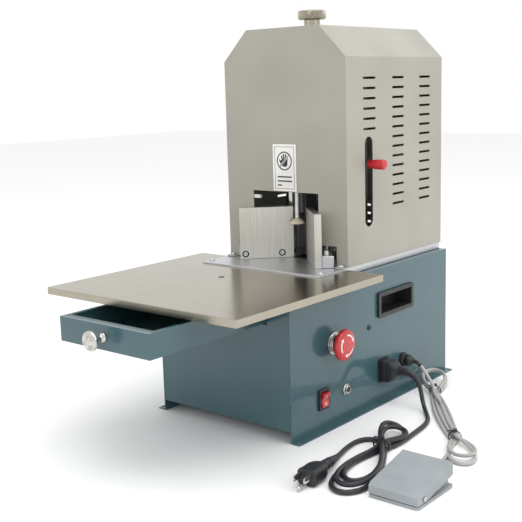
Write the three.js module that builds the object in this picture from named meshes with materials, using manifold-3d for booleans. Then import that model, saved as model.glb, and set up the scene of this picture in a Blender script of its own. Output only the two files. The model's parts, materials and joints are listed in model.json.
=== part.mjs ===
// Desktop electric corner-rounding machine for paper, with its drawer, foot switch and mains lead.
// Millimetres, +Z up. The machine's own frame has x = 0 on its middle plane, y = 0 on the cabinet's
// front face with +Y to the rear, and z = 0 on the bench. The last lines move the whole object so
// that the middle of its footprint, cords left out, is the origin.

import * as THREE from 'three';
import { mergeVertices } from 'three/addons/utils/BufferGeometryUtils.js';
import Module from 'manifold-3d';

const wasm = await Module();
wasm.setup();

// ---------------------------------------------------------------- driving dimensions

const GAP = 0.3; // left between pieces that touch
const SHEET = 1.5; // cabinet and table sheet
const SKIN = 1.2; // hood sheet

const CAB = { halfWidth: 105, depth: 364, height: 177.5, frontBottom: 14, foot: 11.3, fold: 18 };
const TABLE = { halfWidth: 148.6, front: -140.6, rear: 129.4, top: 184.7, rim: 8.5 };
const BED = { halfWidth: 95, front: 72, rear: 363, bottom: CAB.height + GAP, top: 186.6 };
const HOOD = { halfWidth: 96.8, front: 130.4, rear: 362.7, bottom: BED.top + GAP, top: 483.3, chamfer: 39 };
const HOOD_TAB = { x: 89, reach: 4.6, radius: 7.5 };
const THROAT = { halfWidth: 53, top: 277.4, sideHalfWidth: 80, sideTop: 212.4 };
const SIDE_SLOT = { y: 179.3, bottom: 232.9, top: 346.4, width: 18 };
const VENT = { length: 28, height: 3, pitch: 12.5, top: 420 };
const DRAWER = { halfWidth: 70.5, front: -185.8, length: 240, bottom: 141.2, top: 169.3 };
const FENCE = { length: 71, height: 68, thickness: 9, apex: 170, footWidth: 15, footHeight: 15 };
const CRANK = { radius: 31, z: 385, pin: 6, front: 206, rear: 216 };
const COLUMN = { x: 32, y: 186, radius: 8 };
const RAM = { front: 174, rear: 204, bottom: 318, top: 350, plate: 8 };
const KNIFE = { halfWidth: 10, front: 160.5, rear: 184, tip: 246, arc: 10.1 };
const PRESSER = { y: 155.6, rod: 3.3, foot: 9.4, footBottom: 232.9, armZ: 312, guideX: 80, guideY: 160 };
const HOOD_KNOB = { y: 195.5, radius: 18, neck: 10.5, height: 11.5, bottom: 495 };
const ESTOP = { y: 85.9, z: 102.7, head: 19.5, bezel: 14, barrel: 10.8, stem: 5 };
const ROCKER = { y: 62.5, z: 38.5, width: 21, height: 26, tilt: 7 };
const FUSE = { y: 110, z: 38 };
const INLET = { y: 195.5, z: 42, width: 21, height: 29 };
const GLAND = { y: 244, z: 43.8 };
const HANDLE = { y0: 183, y1: 269, z0: 113, z1: 146.5, border: 5.5, depth: 26 };
const PEDAL = { x0: 253.5, x1: 312, y0: -67, y1: 5, base: 3, front: 15.5, rear: 29 };
const PEDAL_PIVOT = { y: -53.7, z: 7.9, radius: 1.8, head: 0.7 };
const DRAWER_KNOB = 22; // how far the knob stands out of the drawer's front
const MAINS = { diameter: 5.6, sides: 8 };
const SIGNAL = { diameter: 4.2, sides: 8 };
const FRAME_CENTRE = {
  x: (PEDAL.x1 + PEDAL_PIVOT.head - TABLE.halfWidth) / 2,
  y: (CAB.depth + DRAWER.front - GAP - DRAWER_KNOB) / 2,
};

// ---------------------------------------------------------------- solids

function solid(geometry) {
  const plain = geometry.clone();
  plain.deleteAttribute('normal');
  plain.deleteAttribute('uv');
  const merged = mergeVertices(plain, 1e-4);
  const index = merged.index.array;
  const triangles = [];
  for (let i = 0; i < index.length; i += 3) {
    const [a, b, c] = [index[i], index[i + 1], index[i + 2]];
    if (a !== b && b !== c && c !== a) triangles.push(a, b, c);
  }
  const mesh = new wasm.Mesh({
    numProp: 3,
    vertProperties: new Float32Array(merged.attributes.position.array),
    triVerts: new Uint32Array(triangles),
  });
  return new wasm.Manifold(mesh);
}

function geometryOf(body) {
  const { vertProperties, triVerts } = body.getMesh();
  const geometry = new THREE.BufferGeometry();
  geometry.setAttribute('position', new THREE.BufferAttribute(new Float32Array(vertProperties), 3));
  geometry.setIndex(new THREE.BufferAttribute(new Uint32Array(triVerts), 1));
  geometry.computeVertexNormals();
  return geometry;
}

const join = (first, ...rest) => rest.reduce((sum, piece) => sum.add(piece), first);
const cut = (first, ...rest) => rest.reduce((sum, piece) => sum.subtract(piece), first);

// Local X, Y and Z of a section and its extrusion, turned onto the object's axes.
const BASIS = {
  x: new THREE.Matrix4().makeBasis(
    new THREE.Vector3(0, 1, 0), new THREE.Vector3(0, 0, 1), new THREE.Vector3(1, 0, 0)),
  y: new THREE.Matrix4().makeBasis(
    new THREE.Vector3(1, 0, 0), new THREE.Vector3(0, 0, 1), new THREE.Vector3(0, -1, 0)),
  z: new THREE.Matrix4(),
};

function box(x0, x1, y0, y1, z0, z1) {
  const geometry = new THREE.BoxGeometry(x1 - x0, y1 - y0, z1 - z0);
  return solid(geometry.translate((x0 + x1) / 2, (y0 + y1) / 2, (z0 + z1) / 2));
}

// A section extruded along an axis from a0 to a1. The section's points are (x, y) for z,
// (x, z) for y and (y, z) for x.
function prism(axis, section, a0, a1) {
  const shape = section instanceof THREE.Shape
    ? section
    : new THREE.Shape(section.map(([u, v]) => new THREE.Vector2(u, v)));
  const geometry = new THREE.ExtrudeGeometry(
    shape, { depth: a1 - a0, bevelEnabled: false, curveSegments: 8 });
  geometry.translate(0, 0, axis === 'y' ? -a1 : a0);
  return solid(geometry.applyMatrix4(BASIS[axis]));
}

// A turned piece about an axis through (u, v): profile points are [radius, place along the axis].
// A profile that starts off the axis is a ring, and closes on its first point.
function turned(axis, profile, u, v, segments = 24) {
  const ring = profile[0][0] > 0 ? [...profile, profile[0]] : profile;
  const points = ring.map(([radius, place]) => new THREE.Vector2(radius, place));
  const geometry = new THREE.LatheGeometry(points, segments);
  geometry.rotateX(Math.PI / 2);
  if (axis === 'y') geometry.scale(1, 1, -1);
  if (axis === 'y') geometry.index.array.reverse();
  geometry.applyMatrix4(BASIS[axis]);
  const offset = { x: [0, u, v], y: [u, 0, v], z: [u, v, 0] }[axis];
  const body = solid(geometry.translate(...offset));
  return body.volume() > 0 ? body : solid(flipped(geometry));
}

function flipped(geometry) {
  const copy = geometry.clone();
  copy.index.array.reverse();
  return copy;
}

const rod = (axis, radius, a0, a1, u, v, segments = 24) =>
  turned(axis, [[0, a0], [radius, a0], [radius, a1], [0, a1]], u, v, segments);

function roundRect(u0, u1, v0, v1, radius) {
  const shape = new THREE.Shape();
  shape.moveTo(u0 + radius, v0);
  shape.lineTo(u1 - radius, v0);
  shape.absarc(u1 - radius, v0 + radius, radius, -Math.PI / 2, 0);
  shape.lineTo(u1, v1 - radius);
  shape.absarc(u1 - radius, v1 - radius, radius, 0, Math.PI / 2);
  shape.lineTo(u0 + radius, v1);
  shape.absarc(u0 + radius, v1 - radius, radius, Math.PI / 2, Math.PI);
  shape.lineTo(u0, v0 + radius);
  shape.absarc(u0 + radius, v0 + radius, radius, Math.PI, Math.PI * 1.5);
  return shape;
}

// A plain cord: a round section swept along a smooth curve through its route.
function cord(route, { diameter, sides }) {
  const curve = new THREE.CatmullRomCurve3(route.map((p) => new THREE.Vector3(...p)), false, 'centripetal');
  const section = new THREE.Shape();
  for (let i = 0; i < sides; i += 1) {
    const angle = (i / sides) * Math.PI * 2;
    const [u, v] = [Math.cos(angle) * diameter / 2, Math.sin(angle) * diameter / 2];
    if (i === 0) section.moveTo(u, v);
    else section.lineTo(u, v);
  }
  const steps = Math.max(2, Math.round(curve.getLength() / (2.5 * diameter)));
  return new THREE.ExtrudeGeometry(section, { steps, extrudePath: curve, bevelEnabled: false });
}

// ---------------------------------------------------------------- materials and the object's tree

const PAINT_TEAL = { color: 0x587479, roughness: 0.35, metalness: 0.1 };
const PAINT_CREAM = { color: 0xbdb9ad, roughness: 0.5, metalness: 0.1 };
const STAINLESS = { color: 0xb5b0a5, roughness: 0.35, metalness: 0.9 };
const STEEL = { color: 0xa9abb0, roughness: 0.4, metalness: 0.9 };
const DARK_STEEL = { color: 0x2b2d31, roughness: 0.5, metalness: 0.6 };
const CHROME = { color: 0xd8d8d8, roughness: 0.1, metalness: 1 };
const ALUMINIUM = { color: 0xbab7ae, roughness: 0.4, metalness: 0.9 };
const CAST_IRON = { color: 0x4a4d50, roughness: 0.7, metalness: 0.5 };
const BLACK_PLASTIC = { color: 0x202124, roughness: 0.5, metalness: 0 };
const RED_PLASTIC = { color: 0xc8242a, roughness: 0.4, metalness: 0 };
const WHITE_PLASTIC = { color: 0xeeeeea, roughness: 0.6, metalness: 0 };
const GREY_PLASTIC = { color: 0xa9aeb1, roughness: 0.55, metalness: 0 };
const RUBBER_CREAM = { color: 0xd9cdb4, roughness: 0.8, metalness: 0 };
const BLACK_RUBBER = { color: 0x25262b, roughness: 0.6, metalness: 0 };
const GREY_RUBBER = { color: 0xb3b2ad, roughness: 0.6, metalness: 0 };

const machine = new THREE.Group();

function place(name, body, look, parent = machine) {
  const mesh = new THREE.Mesh(
    body instanceof THREE.BufferGeometry ? body : geometryOf(body),
    new THREE.MeshStandardMaterial(look));
  mesh.name = name;
  parent.add(mesh);
  return mesh;
}

// ---------------------------------------------------------------- cabinet

function sidePanel(side) {
  const outer = side * CAB.halfWidth;
  const inner = side * (CAB.halfWidth - SHEET);
  const span = (a, b) => [Math.min(a, b), Math.max(a, b)];
  const fold = side * (CAB.halfWidth - CAB.fold);
  const lip = side * (CAB.halfWidth - 12);
  const toe = side * (CAB.halfWidth + CAB.foot);
  const rearFold = CAB.depth - SHEET - GAP;
  const cover = join(
    box(...span(outer, inner), 0, CAB.depth, 0, CAB.height),
    box(...span(outer, fold), 0, CAB.depth, CAB.height - SHEET, CAB.height),
    box(...span(outer, lip), SHEET + GAP, 2 * SHEET + GAP, CAB.frontBottom, CAB.height),
    box(...span(outer, lip), rearFold - SHEET, rearFold, CAB.frontBottom, CAB.height),
    box(...span(outer, toe), 0, CAB.depth, 0, SHEET),
  );
  const footHoles = [5, CAB.depth - 5].map((y) =>
    rod('z', 2.6, -1, SHEET + 1, side * (CAB.halfWidth + 7.5), y, 12));
  const [h0, h1] = span(side * (CAB.halfWidth - 20), side * (CAB.halfWidth + 2));
  const handle = box(h0, h1, HANDLE.y0 + 3, HANDLE.y1 - 3, HANDLE.z0 + 3, HANDLE.z1 - 3);
  return cut(cover, handle, ...footHoles);
}

function rightPanel() {
  const x0 = CAB.halfWidth - SHEET - 1;
  const x1 = CAB.halfWidth + 1;
  return cut(
    sidePanel(1),
    rod('x', ESTOP.barrel + 0.4, x0, x1, ESTOP.y, ESTOP.z),
    rod('x', 6.1, x0, x1, FUSE.y, FUSE.z, 16),
    rod('x', 6.3, x0, x1, GLAND.y, GLAND.z, 16),
    rod('x', 2, x0, x1, 164, 105, 12),
    box(x0, x1, ROCKER.y - 9, ROCKER.y + 9, ROCKER.z - 11, ROCKER.z + 11),
    box(x0, x1, INLET.y - 9.5, INLET.y + 9.5, INLET.z - 13.5, INLET.z + 13.5),
  );
}

function frontPanel() {
  const half = CAB.halfWidth - SHEET - GAP;
  const opening = box(
    -DRAWER.halfWidth - 1, DRAWER.halfWidth + 1, -1, SHEET + 1, DRAWER.bottom - 2.2, DRAWER.top + 2.2);
  return cut(box(-half, half, 0, SHEET, CAB.frontBottom, CAB.height - SHEET - GAP), opening);
}

function rearPanel() {
  const half = CAB.halfWidth - SHEET - GAP;
  const y0 = CAB.depth - SHEET;
  const slots = [];
  for (let row = 0; row < 5; row += 1) {
    const z = 60 + row * VENT.pitch;
    for (const x of [-45, 45]) slots.push(box(x - 22, x + 22, y0 - 1, CAB.depth + 1, z, z + VENT.height));
  }
  return cut(box(-half, half, y0, CAB.depth, CAB.frontBottom, CAB.height - SHEET - GAP), ...slots);
}

function bottomPlate() {
  const half = CAB.halfWidth - SHEET - GAP;
  const rearLip = CAB.depth - 2 * SHEET - 2 * GAP;
  return box(-half, half, 2 * SHEET + 2 * GAP, rearLip, CAB.frontBottom + GAP, CAB.frontBottom + GAP + SHEET);
}

function bedPlate() {
  const plate = box(-BED.halfWidth, BED.halfWidth, BED.front, BED.rear, BED.bottom, BED.top);
  const dieSeat = box(-15.3, 15.3, 157.7, 190.3, BED.bottom - 1, BED.top + 1);
  return cut(plate, dieSeat);
}

function dieBlock() {
  const block = box(-15, 15, 158, 190, BED.bottom, BED.top);
  return cut(block, knifeSection(0.3, BED.bottom - 1, BED.top + 1));
}

// The knife's section: a square bar whose front face is hollowed to the radius that it cuts.
function knifeSection(grow, z0, z1) {
  const { halfWidth, front, rear, arc } = KNIFE;
  const bar = box(-halfWidth - grow, halfWidth + grow, front - grow, rear + grow, z0, z1);
  return cut(bar, rod('z', arc - grow, z0 - 1, z1 + 1, 0, PRESSER.y, 32));
}

function tableTop() {
  const { halfWidth, front, rear, top, rim } = TABLE;
  const pan = cut(
    box(-halfWidth, halfWidth, front, rear, top - rim, top),
    box(-halfWidth + SHEET, halfWidth - SHEET, front + SHEET, rear - SHEET, top - rim - 1, top - SHEET),
  );
  const overCabinet = box(
    -CAB.halfWidth - 1, CAB.halfWidth + 1, rear - 2 * SHEET, rear + 1, top - rim - 1, top - SHEET);
  const notch = box(
    -BED.halfWidth - 0.4, BED.halfWidth + 0.4, BED.front - 0.4, rear + 1, top - rim - 1, top + 1);
  return cut(pan, overCabinet, notch, rod('z', 4, top - 3, top + 1, -10, 14.5, 16));
}

// Two flat bars on the cabinet's top carry the table's overhang, tied by a cross bar in front.
function tableSupport() {
  const z0 = CAB.height + GAP;
  const z1 = TABLE.top - SHEET - GAP;
  return join(
    box(-104, -86, -128, 70, z0, z1),
    box(86, 104, -128, 70, z0, z1),
    box(-90, 90, -128, -108, z0, z1),
  );
}

// ---------------------------------------------------------------- drawer

function drawerTray() {
  const { halfWidth, front, length, bottom, top } = DRAWER;
  const rear = front + length;
  const inside = box(
    -halfWidth + SHEET, halfWidth - SHEET, front + SHEET, rear - SHEET, bottom + SHEET, top + 1);
  const frontFold = box(
    -halfWidth + SHEET, halfWidth - SHEET, front + SHEET, front + 12, top - SHEET, top);
  const hem = (x) => box(x - 2, x + 2, front + 2, rear - 2, top - SHEET, top);
  return join(
    cut(box(-halfWidth, halfWidth, front, rear, bottom, top), inside),
    frontFold, hem(-halfWidth + 3), hem(halfWidth - 3));
}

function drawerKnob() {
  const face = DRAWER.front - GAP;
  const profile = [[0, 0], [5.2, 0], [5.2, 2], [3.2, 5], [3.2, 12], [7, 14.5], [11, 16.5], [10.4, 19.5],
    [6, DRAWER_KNOB - 0.3], [0, DRAWER_KNOB]];
  const ring = profile.map(([radius, out]) => [radius, face - out]);
  return turned('y', ring, 0, (DRAWER.bottom + DRAWER.top) / 2, 32);
}

function drawerRails() {
  const { halfWidth, bottom } = DRAWER;
  const y1 = 252;
  const rail = (side) => {
    const span = (a, b) => [Math.min(side * a, side * b), Math.max(side * a, side * b)];
    return join(
      box(...span(halfWidth - 9, halfWidth + 6), 3.6, y1, bottom - GAP - SHEET, bottom - GAP),
      box(...span(halfWidth + 4.5, halfWidth + 6), 3.6, y1, bottom - GAP - SHEET, bottom + 20),
    );
  };
  const tie = box(-halfWidth - 6, halfWidth + 6, y1 - SHEET, y1, bottom - GAP - SHEET, bottom + 20);
  return join(rail(-1), rail(1), tie);
}

// ---------------------------------------------------------------- hood

function hoodSection(shrink) {
  const half = HOOD.halfWidth - shrink;
  const bottom = HOOD.bottom - (shrink ? 5 : 0);
  const top = HOOD.top - shrink;
  const chamfer = HOOD.chamfer - shrink * (2 - Math.SQRT2);
  return [[-half, bottom], [half, bottom], [half, top - chamfer], [half - chamfer, top],
    [-half + chamfer, top], [-half, top - chamfer]];
}

function hoodThroat() {
  const { halfWidth, top, sideHalfWidth, sideTop } = THROAT;
  const y0 = HOOD.front - 1;
  const y1 = HOOD.front + SKIN + 1;
  return join(
    box(-halfWidth, halfWidth, y0, y1, HOOD.bottom - 1, top),
    box(-sideHalfWidth, sideHalfWidth, y0, y1, HOOD.bottom - 1, sideTop),
  );
}

function hoodVents(x0, x1) {
  const columns = [[167.5, 6], [235, 14], [302.5, 14]];
  const slots = [];
  for (const [y, count] of columns) {
    for (let row = 0; row < count; row += 1) {
      const z = VENT.top - row * VENT.pitch;
      slots.push(box(x0, x1, y, y + VENT.length, z - VENT.height, z));
    }
  }
  return join(...slots);
}

function sideSlot() {
  const { y, bottom, top, width } = SIDE_SLOT;
  const half = width / 2;
  const shape = new THREE.Shape();
  shape.moveTo(y + half, bottom + half);
  shape.lineTo(y + half, top - half);
  shape.absarc(y, top - half, half, 0, Math.PI);
  shape.lineTo(y - half, bottom + half);
  shape.absarc(y, bottom + half, half, Math.PI, 2 * Math.PI);
  return prism('x', shape, HOOD.halfWidth - SKIN - 1, HOOD.halfWidth + 1);
}

function hoodTab(side) {
  const { x, reach, radius } = HOOD_TAB;
  const y = HOOD.front - reach;
  const [z0, z1] = [HOOD.bottom, HOOD.bottom + SKIN];
  const tongue = box(side * x - radius, side * x + radius, y, HOOD.front + SKIN / 2, z0, z1);
  const end = rod('z', radius, z0, z1, side * x, y, 20);
  return cut(join(tongue, end), rod('z', 2.7, z0 - 1, z1 + 1, side * x, y, 12));
}

function hood() {
  const shell = cut(
    prism('y', hoodSection(0), HOOD.front, HOOD.rear),
    prism('y', hoodSection(SKIN), HOOD.front + SKIN, HOOD.rear + 1));
  return join(
    cut(
      shell, hoodThroat(), sideSlot(),
      hoodVents(HOOD.halfWidth - SKIN - 1, HOOD.halfWidth + 1),
      hoodVents(-HOOD.halfWidth - 1, -HOOD.halfWidth + SKIN + 1),
      rod('z', 6.5, HOOD.top - 3, HOOD.top + 1, 0, HOOD_KNOB.y, 16)),
    hoodTab(-1), hoodTab(1));
}

function hoodRearCover() {
  const clear = SKIN + GAP;
  const section = hoodSection(clear).map(([x, z]) => [x, Math.max(z, HOOD.bottom + GAP)]);
  const plate = prism('y', section, HOOD.rear - 2, HOOD.rear - 2 + SKIN);
  const slots = [];
  for (let row = 0; row < 3; row += 1) {
    const z = 232 - row * VENT.pitch;
    for (const x of [-38, 38]) {
      slots.push(box(x - 18, x + 18, HOOD.rear - 3, HOOD.rear + 1, z, z + VENT.height));
    }
  }
  return cut(plate, ...slots);
}

function warningPlate() {
  return box(-18, 19.7, HOOD.front - GAP - 0.5, HOOD.front - GAP, 278.5, 338.3);
}

function openingBumper() {
  const y0 = HOOD.front + SKIN + GAP;
  return box(-62, -43.5, y0, y0 + 5, 267, 271.5);
}

function hoodKnob() {
  const { y, radius, neck, height, bottom } = HOOD_KNOB;
  const top = bottom + height;
  return turned('z', [
    [0, top - 3], [5.4, top - 3], [5.4, HOOD.top + GAP], [neck, HOOD.top + GAP], [neck, bottom],
    [radius - 1.5, bottom], [radius, bottom + 1.5], [radius, top - 2], [radius - 2, top], [0, top],
  ], 0, y, 32);
}

// ---------------------------------------------------------------- punch drive, under the hood

function columnPlate() {
  const plate = join(
    box(-60, 60, 222, 232, HOOD.bottom, 454),
    box(-60, 60, 232, 262, HOOD.bottom, HOOD.bottom + 10));
  return cut(plate, rod('y', 13, 220, 234, 0, CRANK.z));
}

function topBridge() {
  const bar = box(-50, 50, 172, 222 - GAP, 440, 454);
  return join(bar, rod('z', 5, 453, 503, 0, HOOD_KNOB.y, 16));
}

const guideColumn = (side) => rod('z', COLUMN.radius, HOOD.bottom, 440 - GAP, side * COLUMN.x, COLUMN.y);

// The ram slides on both columns. The slot of its yoke takes the crank's pin, with the clearance
// that a constant ratio between crank angle and ram travel needs.
function ram() {
  const { front, rear, bottom, top, plate } = RAM;
  const slotHeight = CRANK.pin + 0.2105 * CRANK.radius + 0.7;
  const slotHalf = CRANK.radius + CRANK.pin + 0.5;
  const centre = CRANK.z + CRANK.radius;
  const yoke = cut(
    box(-slotHalf - plate, slotHalf + plate, rear - plate, rear, centre - slotHeight - plate,
      centre + slotHeight + plate),
    box(-slotHalf, slotHalf, rear - plate - 1, rear + 1, centre - slotHeight, centre + slotHeight));
  const bores = [-1, 1].map((side) =>
    rod('z', COLUMN.radius + 0.05, bottom - 1, top + 1, side * COLUMN.x, COLUMN.y, 24));
  return join(
    cut(box(-48, 48, front, rear, bottom, top), ...bores),
    box(-20, 20, rear - plate, rear, top - 1, centre - slotHeight - 1),
    yoke);
}

const knifeHolder = () => box(-15, 15, 169, 198, 296, RAM.bottom - GAP);

const cornerKnife = () => knifeSection(0, KNIFE.tip, 296 - GAP);

function crankDisc() {
  const { radius, z, pin, front, rear } = CRANK;
  return join(
    rod('y', radius + pin + 5, front, rear, 0, z, 40),
    rod('y', pin, front - 10.3, front + 1, 0, z + radius, 20),
    rod('y', 11, rear - 1, 248, 0, z, 24));
}

function gearbox() {
  const y0 = 232 + GAP;
  const housing = join(
    prism('y', roundRect(-40, 40, CRANK.z - 44, CRANK.z + 40, 8), y0, 282),
    box(-22, 22, y0 + 6, 276, CRANK.z - 70, CRANK.z - 40));
  return cut(housing, rod('y', 11.4, y0 - 1, 250, 0, CRANK.z));
}

function motor() {
  const profile = [[0, 282 + GAP], [36, 282 + GAP]];
  const fins = 7;
  for (let fin = 0; fin < fins; fin += 1) {
    const y = 287 + fin * 8;
    profile.push([38, y], [42, y], [42, y + 4], [38, y + 4]);
  }
  profile.push([36, 348], [20, 352], [0, 352]);
  return turned('y', profile, 0, CRANK.z, 28);
}

// ---------------------------------------------------------------- presser

const presserGuide = () => rod('z', 5, HOOD.bottom, 350, PRESSER.guideX, PRESSER.guideY, 16);

function presserArm() {
  const { guideX, guideY, armZ, y } = PRESSER;
  const [z0, z1] = [armZ - 5, armZ + 5];
  const body = join(
    rod('z', 10, z0 - 3, z1 + 3, guideX, guideY, 24),
    box(-7, guideX - 5, y - 6, y + 4, z0, z1),
    box(guideX - 4, guideX + 8, guideY + 5, SIDE_SLOT.y + 5, z0, z1),
    rod('x', 4, guideX + 7, HOOD.halfWidth + 16, SIDE_SLOT.y, armZ, 16));
  return cut(body, rod('z', 5.1, z0 - 4, z1 + 4, guideX, guideY, 16));
}

const presserRod = () =>
  rod('z', PRESSER.rod, PRESSER.footBottom + 7.5, PRESSER.armZ - 5 - GAP, 0, PRESSER.y, 16);

function presserFoot() {
  const { foot, footBottom } = PRESSER;
  return turned('z', [
    [0, footBottom], [foot - 0.8, footBottom], [foot, footBottom + 1], [foot, footBottom + 2.4],
    [foot - 2, footBottom + 5], [foot - 4.5, footBottom + 6.6], [foot - 5.5, footBottom + 7.2],
    [0, footBottom + 7.2],
  ], 0, PRESSER.y, 24);
}

function presserKnob() {
  const x0 = HOOD.halfWidth + 1;
  return turned('x', [
    [0, x0 + 16], [4.3, x0 + 16], [4.3, x0], [5.6, x0], [5.6, x0 + 7], [6.3, x0 + 9], [6.3, x0 + 21],
    [4.8, x0 + 23], [0, x0 + 23.4],
  ], SIDE_SLOT.y, PRESSER.armZ, 20);
}

// ---------------------------------------------------------------- fences

// A fence in its own frame: x along the plate away from the punch, y = 0 on its working face with
// the foot behind it at +y, z from the bed plate up.
const FENCE_SCREWS = [15.5, 64.5];

function fencePlate() {
  const plate = box(0, FENCE.length, 0, FENCE.thickness, 0, FENCE.height);
  const holes = FENCE_SCREWS.map((x) => join(
    rod('y', 2.3, -1, FENCE.thickness + 1, x, 6.5, 16),
    rod('y', 4.6, -1, 4.6, x, 6.5, 20)));
  return cut(plate, ...holes);
}

function fenceFoot() {
  const y0 = FENCE.thickness + GAP;
  return box(6, FENCE.length, y0, y0 + FENCE.footWidth, 0, FENCE.footHeight);
}

function fence(name, side, start) {
  const group = new THREE.Group();
  const mirror = (body) => (side > 0 ? body : body.mirror([1, 0, 0]));
  const reach = start / Math.SQRT2;
  group.position.set(side * reach, FENCE.apex - reach, HOOD.bottom);
  group.rotation.z = -side * Math.PI / 4;
  place(`fence_${name}`, mirror(fencePlate()), ALUMINIUM, group);
  place(`fence_foot_${name}`, mirror(fenceFoot()), STEEL, group);
  machine.add(group);
}

// ---------------------------------------------------------------- controls on the right panel

const FACE = CAB.halfWidth + GAP;

function estopBezel() {
  const { y, z, bezel, barrel } = ESTOP;
  return turned('x', [
    [6, FACE - 18], [barrel, FACE - 18], [barrel, FACE], [bezel, FACE], [bezel, FACE + 2.2], [12.4, FACE + 3],
    [12.4, FACE + 4.6], [11, FACE + 6], [6, FACE + 6],
  ], y, z, 28);
}

const estopStem = () => rod('x', ESTOP.stem, FACE - 18, FACE + 11, ESTOP.y, ESTOP.z, 16);

function estopButton() {
  const { y, z, head } = ESTOP;
  const x = FACE + 11 + GAP;
  return turned('x', [
    [0, x], [9, x], [13, x + 0.6], [head - 1, x + 2], [head, x + 3.6], [head, x + 5.4], [head - 1.6, x + 7.4],
    [14, x + 8.8], [8, x + 9.4], [0, x + 9.6],
  ], y, z, 32);
}

const estopBlock = () =>
  box(FACE - 45, FACE - 18 - 7, ESTOP.y - 15, ESTOP.y + 15, ESTOP.z - 15, ESTOP.z + 15);

function switchHousing() {
  const { y, z, width, height } = ROCKER;
  const outside = prism('x',
    roundRect(y - width / 2, y + width / 2, z - height / 2, z + height / 2, 1.5), FACE, FACE + 2.5);
  const inside = box(FACE - 18, FACE + 0.1, y - 8.6, y + 8.6, z - 10.6, z + 10.6);
  return cut(join(outside, inside), box(FACE - 9, FACE + 3, y - 7.2, y + 7.2, z - 9.9, z + 9.9));
}

// The rocker: two faces that meet in a shallow valley over its pivot.
function switchRocker() {
  const { y, z } = ROCKER;
  const section = [[-8.9, 4.2], [-8.6, 9.2], [-7.4, 9.6], [0, 7.2], [7.4, 9.6], [8.6, 9.2], [8.9, 4.2], [3, -3],
    [-3, -3]];
  const points = section.map(([u, out]) => [out, u]).reverse();
  const body = prism('y', points, -6.8, 6.8);
  const pivot = new THREE.Group();
  pivot.position.set(FACE - 4, y, z);
  pivot.rotation.y = THREE.MathUtils.degToRad(ROCKER.tilt);
  place('switch_rocker', body, RED_PLASTIC, pivot);
  machine.add(pivot);
}

function fuseHolder() {
  return turned('x', [
    [0, FACE - 24], [5.7, FACE - 24], [5.7, FACE], [6.6, FACE], [6.6, FACE + 1.6], [5.2, FACE + 2.4],
    [5.2, FACE + 3.8], [4, FACE + 4.4], [0, FACE + 4.4],
  ], FUSE.y, FUSE.z, 20);
}

function pocketHandle(side) {
  const { y0, y1, z0, z1, border, depth } = HANDLE;
  const rim = prism('x', roundRect(y0, y1, z0, z1, 4), FACE, FACE + 3);
  const cup = box(FACE - depth, FACE + 1, y0 + border - 2, y1 - border + 2, z0 + border - 2, z1 - border + 2);
  const pocket = box(FACE - depth + 2, FACE + 4, y0 + border, y1 - border, z0 + border, z1 - border);
  const handle = cut(join(rim, cup), pocket);
  return side > 0 ? handle : handle.mirror([1, 0, 0]);
}

function mainsInlet() {
  const { y, z } = INLET;
  const flange = prism('x', roundRect(y - 11.5, y + 11.5, z - 16, z + 16, 2.5), FACE, FACE + 2);
  const body = box(FACE - 22, FACE + 0.1, y - 9.2, y + 9.2, z - 13.2, z + 13.2);
  const pins = [-6, 0, 6].map((rise) =>
    box(FACE - 19, FACE - 6, y - (rise ? 2.5 : -2), y - (rise ? 0.5 : -4), z + rise - 1.8, z + rise + 1.8));
  return join(cut(join(flange, body), box(FACE - 19, FACE + 3, y - 8, y + 8, z - 12, z + 12)), ...pins);
}

function controlBox() {
  const z0 = CAB.frontBottom + SHEET + 2 * GAP;
  return box(-60, 45, 225, 330, z0, z0 + 58);
}

// ---------------------------------------------------------------- mains lead

const CONNECTOR = { face: FACE + 2 + GAP, body: 129, neck: 139, axisZ: 44 };

function mainsConnector() {
  const { y, z, width, height } = INLET;
  const { face, body, neck, axisZ } = CONNECTOR;
  const [hw, hh] = [width / 2, height / 2];
  const section = [[y - hw, z - hh], [y + hw, z - hh], [y + hw, z + hh], [y - hw, z + hh]];
  return join(
    box(face - 3, face + 1, y - 7.6, y + 7.6, z - 11.6, z + 11.6),
    prism('x', section, face, body),
    turned('x', [[0, body - 1], [7, body - 1], [6, body + 4], [4.4, neck], [0, neck]], y, axisZ, 12));
}

// The lead leaves its connector, bends down to the bench and runs to the tied hank.
const MAINS_ROUTE = [
  [139.6, 195.5, 44], [143.4, 195.5, 43.8], [147.4, 195.5, 42.8], [152.6, 195.3, 40], [157.5, 195, 35.4],
  [161, 194.6, 29.5], [163.6, 193.6, 23], [166.2, 191.8, 16.5], [169.6, 188.8, 10.4], [174.4, 184.2, 5.6],
  [180.4, 177.4, 3.3], [187, 168.8, 2.9], [193.4, 159, 2.9], [198.6, 147, 2.9], [202, 133, 2.9],
  [203.8, 118, 2.9],
];
const HANK = { end: [182.4, 107], far: [229.6, -82], halfWidth: 22, height: 16 };
const PLUG_ROUTE = [
  [166.3, 50.6, 3], [164.8, 43, 2.9], [165.4, 31, 2.9], [167.4, 18.5, 3], [170.6, 6, 3.2], [174.6, -7, 4.4],
  [178.8, -19, 6.6], [182, -29, 8.4], [184.1, -37.1, 9.35],
];
const WALL_PLUG = { x: 184.2, y: -38, turn: 0.1, length: 46, width: 24, height: 18, z: 9.4 };

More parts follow.
